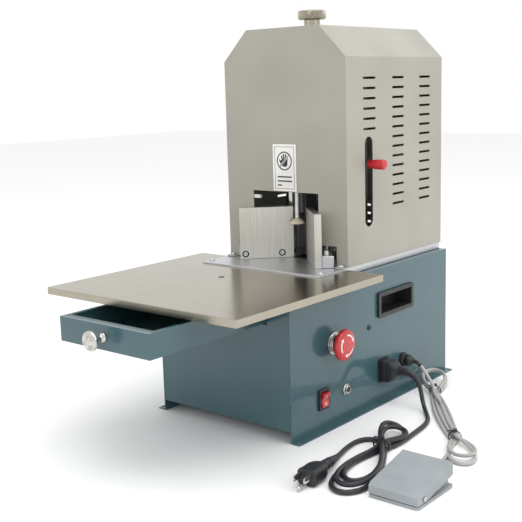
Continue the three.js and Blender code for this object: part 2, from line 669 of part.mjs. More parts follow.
// A flat closed outline with round ends, standing for a tied hank of cord.
function hankSolid([x0, y0], [x1, y1], halfWidth, z0, z1) {
  const length = Math.hypot(x1 - x0, y1 - y0) - 2 * halfWidth;
  const shape = new THREE.Shape();
  shape.moveTo(0, -halfWidth);
  shape.lineTo(length, -halfWidth);
  shape.absarc(length, 0, halfWidth, -Math.PI / 2, Math.PI / 2);
  shape.lineTo(0, halfWidth);
  shape.absarc(0, 0, halfWidth, Math.PI / 2, Math.PI * 1.5);
  const geometry = new THREE.ExtrudeGeometry(shape, { depth: z1 - z0, bevelEnabled: false, curveSegments: 8 });
  const angle = Math.atan2(y1 - y0, x1 - x0);
  geometry.rotateZ(angle);
  return solid(geometry.translate(x0 + Math.cos(angle) * halfWidth, y0 + Math.sin(angle) * halfWidth, z0));
}

function wallPlug() {
  const { x, y, turn, length, width, height, z } = WALL_PLUG;
  const body = join(
    prism('x', roundRect(-width / 2, width / 2, -height / 2, height / 2, 4), 14, length),
    turned('x', [[0, 0], [4.2, 0], [8, 15], [0, 15]], 0, 0, 12),
    box(length - 1, length + 16, -7.1, -5.6, -0.2, 6.2),
    box(length - 1, length + 16, 5.6, 7.1, -0.2, 6.2),
    rod('x', 2.4, length - 1, length + 18, 0, -5.4, 10));
  const mesh = place('wall_plug', body, BLACK_RUBBER);
  mesh.position.set(x, y, z);
  mesh.rotation.z = -Math.PI / 2 + turn;
}

// ---------------------------------------------------------------- foot switch and its cord

function pedalGland() {
  return turned('x', [
    [0, FACE - 8], [6, FACE - 8], [6, FACE], [8.4, FACE], [8.4, FACE + 5], [7.4, FACE + 6], [7.4, FACE + 12],
    [5, FACE + 16], [3.2, FACE + 18], [0, FACE + 18],
  ], GLAND.y, GLAND.z, 18);
}

const PEDAL_ROUTE = [
  [124.2, 244, 43.8], [129, 244, 42.8], [134.6, 244, 39], [139.8, 244, 33.4], [144.6, 243.6, 27.4],
  [149, 242.4, 22.6], [153.2, 240.4, 19.2],
];
const PEDAL_HANK = { end: [116, 310.4], far: [297, 58.6], halfWidth: 15, bottom: 1.9, top: 16 };
const PEDAL_TAIL = [
  [269.8, 64, 2.3], [274.2, 46, 2.4], [277.4, 31, 4.2], [279.8, 18, 7.2], [281, 8.6, 8.6],
];

function pedalBase() {
  const { x0, x1, y0, y1, base } = PEDAL;
  const [in0, in1] = [x0 + 5, x1 - 5];
  const floor = prism('z', roundRect(x0, x1, y0, y1, 4), 0, base);
  const housing = cut(
    box(in0, in1, y0 + 6, y1 - 3, base - 1, 12),
    box(in0 + 2.5, in1 - 2.5, y0 + 8.5, y1 - 5.5, base, 13));
  const wall = box(x0 + 18, x1 - 18, y1 - 5.5, y1 + 3, base - 1, 10.5);
  const pinBore = rod('x', PEDAL_PIVOT.radius + 0.05, x0 - 1, x1 + 1, PEDAL_PIVOT.y, PEDAL_PIVOT.z, 16);
  return cut(join(floor, housing, wall), pinBore);
}

function pedalCover() {
  const { x0, x1, y0, y1, base, front, rear } = PEDAL;
  const low = base + 0.8;
  const outside = [[y0 + 0.6, low], [-48, low], [y1 - 0.6, 13.5], [y1 - 0.6, rear - 3], [y1 - 5, rear],
    [y0 + 4, front], [y0 + 0.6, front - 3]];
  const inside = [[y0 + 3, low - 1], [-46, low - 1], [y1 + 3, 12], [y1 + 3, 17], [y1 - 3, 22],
    [y1 - 6, rear - 2.4], [y0 + 5, front - 2.4], [y0 + 3, front - 4]];
  const shell = cut(prism('x', outside, x0 + 0.8, x1 - 0.8), prism('x', inside, x0 + 3.4, x1 - 3.4));
  return cut(shell, rod('x', PEDAL_PIVOT.radius + 0.05, x0 - 1, x1 + 1, PEDAL_PIVOT.y, PEDAL_PIVOT.z, 16));
}

function pedalPin() {
  const { x0, x1 } = PEDAL;
  const { y, z, radius, head } = PEDAL_PIVOT;
  return turned('x', [
    [0, x0 - head], [2.6, x0 - head], [2.6, x0 + 0.5], [radius, x0 + 0.5], [radius, x1 - 0.5],
    [2.6, x1 - 0.5], [2.6, x1 + head], [0, x1 + head],
  ], y, z, 16);
}

function pedalSwitch() {
  const middle = (PEDAL.x0 + PEDAL.x1) / 2;
  return join(
    box(middle - 5, middle + 5, -38, -12, PEDAL.base + GAP, 13),
    rod('z', 2, 12.5, 15.5, middle, -20, 10));
}

// ---------------------------------------------------------------- assembly

place('side_panel_right', rightPanel(), PAINT_TEAL);
place('side_panel_left', sidePanel(-1), PAINT_TEAL);
place('front_panel', frontPanel(), PAINT_TEAL);
place('rear_panel', rearPanel(), PAINT_TEAL);
place('bottom_plate', bottomPlate(), PAINT_TEAL);
place('bed_plate', bedPlate(), STEEL);
place('die_block', dieBlock(), DARK_STEEL);
place('table_top', tableTop(), STAINLESS);
place('table_support', tableSupport(), DARK_STEEL);

place('drawer_tray', drawerTray(), PAINT_TEAL);
place('drawer_knob', drawerKnob(), CHROME);
place('drawer_rails', drawerRails(), STEEL);

place('hood', hood(), PAINT_CREAM);
place('hood_rear_cover', hoodRearCover(), PAINT_CREAM);
place('warning_plate', warningPlate(), WHITE_PLASTIC);
place('opening_bumper', openingBumper(), WHITE_PLASTIC);
place('hood_knob', hoodKnob(), STAINLESS);

place('column_plate', columnPlate(), STEEL);
place('guide_column_left', guideColumn(-1), CHROME);
place('guide_column_right', guideColumn(1), CHROME);
place('top_bridge', topBridge(), STEEL);
place('ram_yoke', ram(), DARK_STEEL);
place('knife_holder', knifeHolder(), DARK_STEEL);
place('corner_knife', cornerKnife(), DARK_STEEL);
place('crank_disc', crankDisc(), STEEL);
place('gearbox', gearbox(), CAST_IRON);
place('motor', motor(), CAST_IRON);

place('presser_guide', presserGuide(), CHROME);
place('presser_arm', presserArm(), STEEL);
place('presser_rod', presserRod(), CHROME);
place('presser_foot', presserFoot(), RUBBER_CREAM);
place('presser_knob', presserKnob(), RED_PLASTIC);

fence('left', -1, 14.5);
fence('right', 1, 19);

place('estop_bezel', estopBezel(), CHROME);
place('estop_stem', estopStem(), STEEL);
place('estop_button', estopButton(), RED_PLASTIC);
place('estop_contact_block', estopBlock(), BLACK_PLASTIC);
place('switch_housing', switchHousing(), BLACK_PLASTIC);
switchRocker();
place('fuse_holder', fuseHolder(), CHROME);
place('handle_right', pocketHandle(1), BLACK_PLASTIC);
place('handle_left', pocketHandle(-1), BLACK_PLASTIC);
place('mains_inlet', mainsInlet(), BLACK_PLASTIC);
place('control_box', controlBox(), GREY_PLASTIC);

place('mains_connector', mainsConnector(), BLACK_RUBBER);
place('mains_cord', cord(MAINS_ROUTE, MAINS), BLACK_RUBBER);
place('mains_hank', hankSolid(HANK.end, HANK.far, HANK.halfWidth, GAP, HANK.height), BLACK_RUBBER);
place('mains_tail', cord(PLUG_ROUTE, MAINS), BLACK_RUBBER);
wallPlug();

place('pedal_gland', pedalGland(), BLACK_PLASTIC);
place('pedal_cord', cord(PEDAL_ROUTE, SIGNAL), GREY_RUBBER);
place('pedal_hank',
  hankSolid(PEDAL_HANK.end, PEDAL_HANK.far, PEDAL_HANK.halfWidth, PEDAL_HANK.bottom, PEDAL_HANK.top),
  GREY_RUBBER);
place('pedal_tail', cord(PEDAL_TAIL, SIGNAL), GREY_RUBBER);
place('pedal_base', pedalBase(), GREY_PLASTIC);
place('pedal_cover', pedalCover(), GREY_PLASTIC);
place('pedal_pin', pedalPin(), CHROME);
place('pedal_switch', pedalSwitch(), BLACK_PLASTIC);

machine.position.set(-FRAME_CENTRE.x, -FRAME_CENTRE.y, 0);
const object = new THREE.Group();
object.add(machine);

export default object;
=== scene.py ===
"""A desktop corner-rounding machine for paper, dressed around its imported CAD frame.

The CAD nodes stay where they are and get materials and rounded edges. Turned parts, cords, screws,
ties and printed marks are built here. Sizes named _MM or _YZ, and the points given to at(), are
millimetres in the machine's own frame: x = 0 on its middle plane, y = 0 on the cabinet's front.
"""

import json
import math

import bmesh
import bpy
from mathutils import Matrix, Vector


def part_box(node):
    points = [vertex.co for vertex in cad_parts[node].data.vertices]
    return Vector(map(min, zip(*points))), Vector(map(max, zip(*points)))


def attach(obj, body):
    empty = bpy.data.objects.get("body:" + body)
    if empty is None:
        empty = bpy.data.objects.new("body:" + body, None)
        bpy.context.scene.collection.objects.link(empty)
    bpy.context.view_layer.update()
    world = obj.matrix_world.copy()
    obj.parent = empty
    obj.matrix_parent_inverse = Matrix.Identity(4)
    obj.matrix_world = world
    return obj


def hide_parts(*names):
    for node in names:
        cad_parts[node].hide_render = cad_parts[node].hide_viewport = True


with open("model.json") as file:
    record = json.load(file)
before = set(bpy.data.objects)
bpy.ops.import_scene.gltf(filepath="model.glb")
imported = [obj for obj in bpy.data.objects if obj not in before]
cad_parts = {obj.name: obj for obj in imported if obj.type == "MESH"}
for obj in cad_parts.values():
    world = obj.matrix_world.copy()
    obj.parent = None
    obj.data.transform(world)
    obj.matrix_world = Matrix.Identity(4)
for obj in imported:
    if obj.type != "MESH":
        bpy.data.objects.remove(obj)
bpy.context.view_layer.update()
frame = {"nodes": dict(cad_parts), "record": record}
nodes = frame["nodes"]

# ---------------------------------------------------------------- the machine's frame and sizes

MIDDLE_X = (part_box("side_panel_left")[0].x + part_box("side_panel_right")[1].x) / 2
FRONT_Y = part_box("front_panel")[0].y
FACE_MM = 105.3  # outer face of the right panel, plus the gap to what sits on it
HOOD_FRONT_MM = 130.4
BED_TOP_MM = 186.6
ESTOP_YZ = (85.9, 102.7)
ESTOP_HEAD_MM = FACE_MM + 11.3  # underside of the red head
FUSE_YZ = (110, 38)
ROCKER_YZ = (62.5, 38.5)
INLET_YZ = (195.5, 42)
GLAND_YZ = (244, 43.8)


def at(x, y, z):
    """A point of the machine's frame, in millimetres, as a place in metres."""
    return Vector((MIDDLE_X + x / 1000, FRONT_Y + y / 1000, z / 1000))


# ---------------------------------------------------------------- camera, floor and light

# Found by fitting the machine's corners to its picture: degrees, and the lens in millimetres.
CAMERA = {"azimuth": 39.911, "elevation": 10.455, "roll": -1.652, "lens": 65.16}
CAMERA_PLACE = at(752.05, -820.66, 411.51)


def add_camera():
    azimuth, elevation, roll = (math.radians(CAMERA[k]) for k in ("azimuth", "elevation", "roll"))
    back = Vector((math.sin(azimuth) * math.cos(elevation),
                   -math.cos(azimuth) * math.cos(elevation),
                   math.sin(elevation)))
    level = Vector((math.cos(azimuth), math.sin(azimuth), 0))
    rise = back.cross(level)
    right = math.cos(roll) * level + math.sin(roll) * rise
    up = math.cos(roll) * rise - math.sin(roll) * level
    data = bpy.data.cameras.new("camera")
    data.lens = CAMERA["lens"]
    data.sensor_width = 36
    data.clip_end = 20
    camera = bpy.data.objects.new("camera", data)
    turn = Matrix((right, up, back)).transposed().to_4x4()
    camera.matrix_world = Matrix.Translation(CAMERA_PLACE) @ turn
    bpy.context.scene.collection.objects.link(camera)
    bpy.context.scene.camera = camera


def add_floor():
    half = 6.0
    mesh = bpy.data.meshes.new("floor")
    corners = [(-half, -half, 0), (half, -half, 0), (half, half, 0), (-half, half, 0)]
    mesh.from_pydata(corners, [], [(0, 1, 2, 3)])
    floor = bpy.data.objects.new("floor", mesh)
    floor.location.z = -0.0002
    bpy.context.scene.collection.objects.link(floor)
    material = bpy.data.materials.new("floor")
    material.use_nodes = True
    shader = material.node_tree.nodes["Principled BSDF"]
    shader.inputs["Base Color"].default_value = (0.92, 0.92, 0.92, 1)
    shader.inputs["Roughness"].default_value = 0.85
    mesh.materials.append(material)


def add_area_light(name, place, target, size, power):
    data = bpy.data.lights.new(name, "AREA")
    data.shape = "RECTANGLE"
    data.size, data.size_y = size
    data.energy = power
    light = bpy.data.objects.new(name, data)
    light.location = place
    light.rotation_mode = "QUATERNION"
    light.rotation_quaternion = (Vector(target) - Vector(place)).to_track_quat("-Z", "Y")
    bpy.context.scene.collection.objects.link(light)


def add_lights():
    world = bpy.data.worlds.new("studio")
    world.use_nodes = True
    world.node_tree.nodes["Background"].inputs["Color"].default_value = (1, 1, 1, 1)
    world.node_tree.nodes["Background"].inputs["Strength"].default_value = 1.0
    bpy.context.scene.world = world
    aim = (0, 0, 0.25)
    add_area_light("overhead", (0.3, -0.1, 2.2), aim, (2.0, 2.0), 24)
    add_area_light("right_softbox", (2.3, 0.3, 1.4), aim, (1.6, 1.4), 11)
    add_area_light("front_fill", (-0.9, -2.3, 1.0), aim, (1.4, 1.2), 2)
    bpy.context.scene.view_settings.view_transform = "Standard"


# ---------------------------------------------------------------- material building blocks

class Material:
    """A Principled material and short ways to add the nodes that vary it."""

    def __init__(self, name, metallic=0.0, roughness=0.5, coat=0.0, coat_roughness=0.05, specular=0.5):
        self.material = bpy.data.materials.new(name)
        self.material.use_nodes = True
        self.tree = self.material.node_tree
        self.shader = self.tree.nodes["Principled BSDF"]
        self.shader.inputs["Metallic"].default_value = metallic
        self.shader.inputs["Roughness"].default_value = roughness
        self.shader.inputs["Coat Weight"].default_value = coat
        self.shader.inputs["Coat Roughness"].default_value = coat_roughness
        self.shader.inputs["Specular IOR Level"].default_value = specular
        self.place = self.tree.nodes.new("ShaderNodeTexCoord").outputs["Object"]

    def link(self, source, target):
        self.tree.links.new(source, target)

    def noise(self, scale, detail=3.0, roughness=0.5, stretch=None, distortion=0.0):
        """Noise whose cells are about 1 / scale metres, stretched along an axis where asked."""
        texture = self.tree.nodes.new("ShaderNodeTexNoise")
        texture.inputs["Scale"].default_value = scale
        texture.inputs["Detail"].default_value = detail
        texture.inputs["Roughness"].default_value = roughness
        texture.inputs["Distortion"].default_value = distortion
        place = self.place
        if stretch:
            mapping = self.tree.nodes.new("ShaderNodeMapping")
            mapping.inputs["Scale"].default_value = stretch
            self.link(place, mapping.inputs["Vector"])
            place = mapping.outputs["Vector"]
        self.link(place, texture.inputs["Vector"])
        return texture.outputs["Fac"]

    def spread(self, value, low, high, to_low=0.0, to_high=1.0):
        """The value's range low..high, moved to to_low..to_high and held there."""
        remap = self.tree.nodes.new("ShaderNodeMapRange")
        ends = {"From Min": low, "From Max": high, "To Min": to_low, "To Max": to_high}
        for name, number in ends.items():
            remap.inputs[name].default_value = number
        self.link(value, remap.inputs["Value"])
        return remap.outputs["Result"]

    def edges(self, radius):
        """1 on edges sharper than the radius and 0 on open faces."""
        bevel = self.tree.nodes.new("ShaderNodeBevel")
        bevel.samples = 4
        bevel.inputs["Radius"].default_value = radius
        geometry = self.tree.nodes.new("ShaderNodeNewGeometry")
        dot = self.tree.nodes.new("ShaderNodeVectorMath")
        dot.operation = "DOT_PRODUCT"
        self.link(bevel.outputs["Normal"], dot.inputs[0])
        self.link(geometry.outputs["Normal"], dot.inputs[1])
        return self.spread(dot.outputs["Value"], 0.98, 0.82)

    def mix(self, factor, first, second):
        """A colour between two: each is a colour's three numbers or a socket."""
        blend = self.tree.nodes.new("ShaderNodeMix")
        blend.data_type = "RGBA"
        for value, socket in ((first, blend.inputs[6]), (second, blend.inputs[7])):
            if isinstance(value, tuple):
                socket.default_value = (*value, 1)
            else:
                self.link(value, socket)
        self.link(factor, blend.inputs[0])
        return blend.outputs[2]

    def times(self, first, second):
        product = self.tree.nodes.new("ShaderNodeMath")
        product.operation = "MULTIPLY"
        self.link(first, product.inputs[0])
        if isinstance(second, float):
            product.inputs[1].default_value = second
        else:
            self.link(second, product.inputs[1])
        return product.outputs["Value"]

    def colour(self, value):
        self.link(value, self.shader.inputs["Base Color"])

    def rough(self, value):
        self.link(value, self.shader.inputs["Roughness"])

    def bump(self, *layers):
        """Height layers, each (value, height in metres), laid over one another."""
        normal = None
        for value, height in layers:
            bump = self.tree.nodes.new("ShaderNodeBump")
            bump.inputs["Strength"].default_value = 1.0
            bump.inputs["Distance"].default_value = height
            self.link(value, bump.inputs["Height"])
            if normal:
                self.link(normal, bump.inputs["Normal"])
            normal = bump.outputs["Normal"]
        self.link(normal, self.shader.inputs["Normal"])


def shade(colour, factor):
    return tuple(min(1.0, c * factor) for c in colour)


def paint(name, colour, roughness, coat, peel, edge_colour):
    """Sprayed enamel: cloudy tone, orange peel, a few dust specks and rubbed edges."""
    m = Material(name, 0.0, roughness, coat, 0.035, 0.3)
    cloud = m.spread(m.noise(9, 2), 0.3, 0.7)
    speck = m.spread(m.noise(2200, 1), 0.78, 0.84)
    tone = m.mix(cloud, shade(colour, 0.93), shade(colour, 1.07))
    tone = m.mix(m.times(speck, 0.2), tone, shade(colour, 1.5))
    rub = m.times(m.edges(0.0007), m.spread(m.noise(160, 3), 0.45, 0.65))
    m.colour(m.mix(m.times(rub, 0.7), tone, edge_colour))
    m.rough(m.spread(m.noise(40, 1), 0.15, 0.85, roughness, roughness * 1.3))
    m.bump((m.noise(420, 2), peel), (m.noise(30, 1), peel * 5))
    return m.material


def brushed(name, colour, roughness, stretch, depth=1.2e-6, scratch=0.5, smudge=0.12):
    """Metal brushed along the axis whose stretch is smallest, with scratches and faint smudges."""
    m = Material(name, 1.0, roughness)
    grain = m.noise(1.0, 3, 0.6, stretch)
    fine = m.noise(1.0, 2, 0.5, tuple(s * 3.1 for s in stretch))
    scratches = m.spread(m.noise(1.0, 1, 0.5, tuple(s * 0.6 for s in stretch), 0.3), 0.66, 0.74)
    smudges = m.spread(m.noise(14, 3, 0.6), 0.42, 0.68)
    tone = m.mix(m.spread(grain, 0.3, 0.7), shade(colour, 0.86), shade(colour, 1.08))
    tone = m.mix(m.times(scratches, scratch), tone, shade(colour, 1.25))
    m.colour(m.mix(m.times(smudges, smudge), tone, shade(colour, 0.6)))
    m.rough(m.spread(fine, 0.3, 0.7, roughness * 0.8, roughness * 1.3))
    m.bump((fine, depth), (grain, depth * 2))
    return m.material


def polished(name, colour, roughness):
    """Plated metal: near-mirror, with light pitting and wiping marks."""
    m = Material(name, 1.0, roughness)
    marks = m.spread(m.noise(90, 3, 0.6), 0.35, 0.7)
    m.colour(m.mix(marks, shade(colour, 0.9), colour))
    m.rough(m.spread(m.noise(300, 3), 0.35, 0.75, roughness * 0.7, roughness * 2.4))
    m.bump((m.noise(600, 2), 1.5e-6), (m.noise(60, 1), 6e-6))
    return m.material


def moulded(name, colour, roughness, grain, depth, coat=0.0):
    """Injection-moulded plastic or rubber: fine grain, cloudy gloss and scuffed edges."""
    m = Material(name, 0.0, roughness, coat, 0.08)
    cloud = m.spread(m.noise(25, 3), 0.3, 0.7)
    tone = m.mix(cloud, shade(colour, 0.9), shade(colour, 1.1))
    scuff = m.times(m.edges(0.0005), m.spread(m.noise(260, 3), 0.4, 0.65))
    lighter = tuple(c + (0.6 - c) * 0.25 for c in colour)
    m.colour(m.mix(m.times(scuff, 0.5), tone, lighter))
    m.rough(m.spread(m.noise(70, 3), 0.3, 0.7, roughness * 0.85, min(1.0, roughness * 1.2)))
    m.bump((m.noise(grain, 2), depth), (m.noise(grain / 12, 2), depth * 2))
    return m.material


def cast(name, colour):
    """Painted cast metal: coarse, uneven and dull."""
    m = Material(name, 0.35, 0.62)
    m.colour(m.mix(m.spread(m.noise(35, 4), 0.3, 0.7), shade(colour, 0.75), shade(colour, 1.25)))
    m.rough(m.spread(m.noise(200, 3), 0.3, 0.7, 0.5, 0.75))
    m.bump((m.noise(700, 4), 6e-5))
    return m.material


def printed(name, colour):
    """Screen-printed ink or label film, a little uneven."""
    m = Material(name, 0.0, 0.45)
    m.colour(m.mix(m.spread(m.noise(300, 3), 0.35, 0.7), shade(colour, 0.9), shade(colour, 1.08)))
    m.rough(m.spread(m.noise(500, 2), 0.3, 0.7, 0.38, 0.55))
    m.bump((m.noise(900, 2), 4e-6))
    return m.material


ALONG_X = (18, 1500, 1500)  # noise stretched into brush lines along X
ALONG_Z = (1300, 1300, 16)
TEAL = (0.041, 0.100, 0.117)
CREAM = (0.358, 0.345, 0.30)

LOOKS = {
    "paint_teal": paint("paint_teal", TEAL, 0.3, 0.6, 2.5e-6, (0.2, 0.28, 0.29)),
    "paint_cream": paint("paint_cream", CREAM, 0.42, 0.2, 1.2e-5, (0.58, 0.57, 0.52)),
    "stainless": brushed("stainless", (0.405, 0.375, 0.305), 0.2, ALONG_X),
    "steel": brushed("steel", (0.62, 0.63, 0.65), 0.34, ALONG_X),
    "dark_steel": brushed("dark_steel", (0.10, 0.105, 0.115), 0.42, ALONG_X),
    "chrome": polished("chrome", (0.60, 0.59, 0.56), 0.1),
    "aluminium": brushed("aluminium", (0.62, 0.605, 0.56), 0.38, ALONG_Z),
    "cast_iron": cast("cast_iron", (0.10, 0.11, 0.115)),
    "black_plastic": moulded("black_plastic", (0.018, 0.018, 0.02), 0.42, 1500, 1.2e-5),
    "red_plastic": moulded("red_plastic", (0.50, 0.012, 0.018), 0.3, 900, 4e-6, 0.4),
    "white_plastic": moulded("white_plastic", (0.80, 0.80, 0.77), 0.5, 1200, 6e-6),
    "grey_plastic": moulded("grey_plastic", (0.285, 0.31, 0.325), 0.5, 1100, 2.4e-5),
    "cream_rubber": moulded("cream_rubber", (0.66, 0.58, 0.44), 0.7, 800, 2e-5),
    "black_rubber": moulded("black_rubber", (0.017, 0.018, 0.022), 0.4, 1300, 8e-6),
    "grey_rubber": moulded("grey_rubber", (0.40, 0.40, 0.385), 0.48, 1300, 8e-6),
}
INK_BLACK = printed("ink_black", (0.02, 0.02, 0.022))
INK_WHITE = printed("ink_white", (0.85, 0.85, 0.84))
SLOT_OF = {row["node"]: row["material_slot"] for row in frame["record"]["subparts"]}

# ---------------------------------------------------------------- rounded edges on the CAD nodes

EDGE_MM = 0.45  # rounding of a folded or cut edge where nothing else is said
EDGE_OF = {
    "pedal_cover": 1.2, "pedal_base": 0.8, "wall_plug": 1.6, "mains_connector": 1.4,
    "handle_right": 1.0, "handle_left": 1.0, "switch_housing": 0.7, "switch_rocker": 0.8,
    "fence_left": 0.5, "fence_right": 0.5, "table_top": 0.6, "bed_plate": 0.6, "gearbox": 2.0,
    "motor": 0.8, "control_box": 1.5, "fence_foot_left": 0.8, "fence_foot_right": 0.8,
}


def round_edges(name):
    """Welds and flattens the node's triangles, then rounds its sharp edges."""
    piece = nodes[name]
    weld = piece.modifiers.new("weld", "WELD")
    weld.merge_threshold = 1e-6
    flatten = piece.modifiers.new("flatten", "DECIMATE")
    flatten.decimate_type = "DISSOLVE"
    flatten.angle_limit = math.radians(1)
    bevel = piece.modifiers.new("round", "BEVEL")
    bevel.width = EDGE_OF.get(name, EDGE_MM) / 1000
    bevel.segments = 3
    bevel.limit_method = "ANGLE"
    bevel.angle_limit = math.radians(32)
    bevel.use_clamp_overlap = True
    normals = piece.modifiers.new("normals", "WEIGHTED_NORMAL")
    normals.mode = "FACE_AREA"
    normals.weight = 90
    for polygon in piece.data.polygons:
        polygon.use_smooth = True


def dress_cad_nodes():
    for name, piece in nodes.items():
        piece.data.materials.clear()
        piece.data.materials.append(LOOKS[SLOT_OF[name]])
        round_edges(name)


# ---------------------------------------------------------------- mesh building blocks

def add_piece(name, built, look, body):
    """Turns a bmesh into a piece that rides on a body. look is a material."""
    mesh = bpy.data.meshes.new(name)
    bmesh.ops.recalc_face_normals(built, faces=built.faces)
    built.to_mesh(mesh)
    built.free()
    piece = bpy.data.objects.new(name, mesh)
    bpy.context.scene.collection.objects.link(piece)
    mesh.materials.append(look)
    for polygon in mesh.polygons:
        polygon.use_smooth = True
    mesh.set_sharp_from_angle(angle=math.radians(38))
    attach(piece, body)
    return piece


def axes_of(axis):
    """Two directions across an axis, and the axis, as a right-handed set."""
    axis = Vector(axis).normalized()
    across = axis.orthogonal() if abs(axis.z) > 0.9 else Vector((0, 0, 1)).cross(axis)
    across.normalize()
    return across, axis.cross(across), axis


def add_rings(built, rings, closed=False):
    """Skins a list of rings of points, and caps both ends unless the list closes on itself."""
    loops = [[built.verts.new(point) for point in ring] for ring in rings]
    count = len(loops[0])
    pairs = list(zip(loops, loops[1:]))
    if closed:
        pairs.append((loops[-1], loops[0]))
    for first, second in pairs:
        for i in range(count):
            j = (i + 1) % count
            built.faces.new((first[i], first[j], second[j], second[i]))
    if not closed:
        built.faces.new(loops[0])
        built.faces.new(loops[-1])


HEX = "hex"
KNURL = "knurl"


def turned(built, centre, axis, profile, sides=72):
    """A turned solid. Profile rows are (radius, place along the axis, shape) in millimetres."""
    across, up, axis = axes_of(axis)
    rings = []
    for row in profile:
        radius, along = row[0], row[1]
        shape = row[2] if len(row) > 2 else None
        ring = []
        for k in range(sides):
            angle = 2 * math.pi * k / sides
            reach = max(radius, 0.02)
            if shape == HEX:
                reach /= math.cos(angle % (math.pi / 3) - math.pi / 6)
            if shape == KNURL:
                reach *= 1 - 0.035 * (k % 2)
            ring.append(centre + (across * math.cos(angle) + up * math.sin(angle)) * (reach / 1000)
                        + axis * (along / 1000))
        rings.append(ring)
    add_rings(built, rings)


def along_path(path, steps):
    """A soft curve through the path's points, with steps pieces between neighbours."""
    points = [Vector(p) for p in path]
    padded = [2 * points[0] - points[1], *points, 2 * points[-1] - points[-2]]
    result = []
    for i in range(1, len(padded) - 2):
        a, b, c, d = padded[i - 1:i + 3]
        for k in range(steps):
            t = k / steps
            result.append(0.5 * (2 * b + (c - a) * t + (2 * a - 5 * b + 4 * c - d) * t ** 2
                                 + (3 * b - a - 3 * c + d) * t ** 3))
    result.append(points[-1])
    return result


def smooth_profile(profile):
    """Puts points on a soft curve through the profile's corners, for domed shapes."""
    return [tuple(p) for p in along_path(profile, 4)]


def turned_piece(name, centre, axis, profile, slot, body, node, sides=72):
    """A turned piece that stands for a CAD node."""
    built = bmesh.new()
    turned(built, centre, axis, profile, sides)
    piece = add_piece(name, built, LOOKS[slot], body)
    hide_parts(node)


def slab(built, outline, lift, thickness, origin, across, up):
    """A flat plate: outline points in millimetres across and up from the origin."""
    normal = across.cross(up)
    back = [built.verts.new(origin + across * (u / 1000) + up * (v / 1000) + normal * (lift / 1000))
            for u, v in outline]
    front = [built.verts.new(v.co + normal * (thickness / 1000)) for v in back]
    built.faces.new(back)
    built.faces.new(front)
    for i in range(len(back)):
        j = (i + 1) % len(back)
        built.faces.new((back[i], back[j], front[j], front[i]))


def rounded_box(u0, u1, v0, v1, radius, steps=4):
    """Outline of a rectangle with round corners."""
    corners = [(u1 - radius, v0 + radius, -90), (u1 - radius, v1 - radius, 0),
               (u0 + radius, v1 - radius, 90), (u0 + radius, v0 + radius, 180)]
    return [(u + radius * math.cos(math.radians(start + 90 * k / steps)),
             v + radius * math.sin(math.radians(start + 90 * k / steps)))
            for u, v, start in corners for k in range(steps + 1)]


def arc_band(radius, width, start, end, steps=24):
    """Outline of a flat arc, its angles in degrees."""
    angles = [math.radians(start + (end - start) * k / steps) for k in range(steps + 1)]
    outer = [((radius + width / 2) * math.cos(a), (radius + width / 2) * math.sin(a)) for a in angles]
    inner = [((radius - width / 2) * math.cos(a), (radius - width / 2) * math.sin(a)) for a in angles]
    return outer + inner[::-1]


def sleeve(built, line, radii, sides=32):
    """A skin around a line of points, with one radius in millimetres for each point."""
    tangent = (line[1] - line[0]).normalized()
    across = axes_of(tangent)[0]
    rings = []
    for i, point in enumerate(line):
        ahead = line[min(i + 1, len(line) - 1)] - line[max(i - 1, 0)]
        turn = tangent.rotation_difference(ahead.normalized())
        across = turn @ across
        tangent = ahead.normalized()
        up = tangent.cross(across)
        rings.append([point + (across * math.cos(a) + up * math.sin(a)) * (radii[i] / 1000)
                      for a in (2 * math.pi * k / sides for k in range(sides))])
    add_rings(built, rings)


# ---------------------------------------------------------------- cords

def ease(share):
    return max(0.0, 1.0 - share) ** 2


TO_WIDTH = 1.32  # brings a bend's widest place to about the width asked for


def hank_bend(tie, far, width, start, end, rest, point=1.25, lean=0.0, rise=0.0, steps=14):
    """One drop-shaped bend of a hank, from its tie out to far and back, in millimetres.

    width is about half the bend's width, negative where the cord goes out on the left. start and
    end are the strand's places in the tie, (across, up). rest is the height that the bend lies at,
    lean raises its left side and rise its far end. point makes the bend slim near its tie."""
    reach = math.dist(tie, far)
    along = ((far[0] - tie[0]) / reach, (far[1] - tie[1]) / reach)
    across = (along[1], -along[0]) if along[1] > 0 else (-along[1], along[0])
    points = []
    for k in range(1, steps):
        turn = 2 * math.pi * k / steps
        half = math.sin(turn / 2)
        going_out = 2 * k < steps
        from_tie = 2 * k / steps if going_out else 2 - 2 * k / steps
        slot = start if going_out else end
        wave = TO_WIDTH * width * math.sin(turn) * half ** point
        ahead = reach * half ** 2
        aside = wave + slot[0] * ease(from_tie)
        height = rest + (slot[1] - rest) * ease(from_tie * 0.8)
        height += lean * (abs(width) - wave) * min(1.0, from_tie * 1.5) + rise * half ** 2
        points.append((tie[0] + along[0] * ahead + across[0] * aside,
                       tie[1] + along[1] * ahead + across[1] * aside, height))
    return points


def cord_curve(name, points, diameter, slot):
    curve = bpy.data.curves.new(name, "CURVE")
    curve.dimensions = "3D"
    curve.bevel_depth = diameter / 2
    curve.bevel_resolution = 6
    curve.resolution_u = 6
    curve.use_fill_caps = True
    spline = curve.splines.new("BEZIER")
    spline.bezier_points.add(len(points) - 1)
    for knot, point in zip(spline.bezier_points, points):
        knot.co = point
        knot.handle_left_type = knot.handle_right_type = "AUTO"
    piece = bpy.data.objects.new(name, curve)
    bpy.context.scene.collection.objects.link(piece)
    curve.materials.append(LOOKS[slot])
    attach(piece, "machine")
    return piece


def from_route(route):
    """A route given in metres of the machine's frame."""
    return [at(x * 1000, y * 1000, z * 1000) for x, y, z in route]


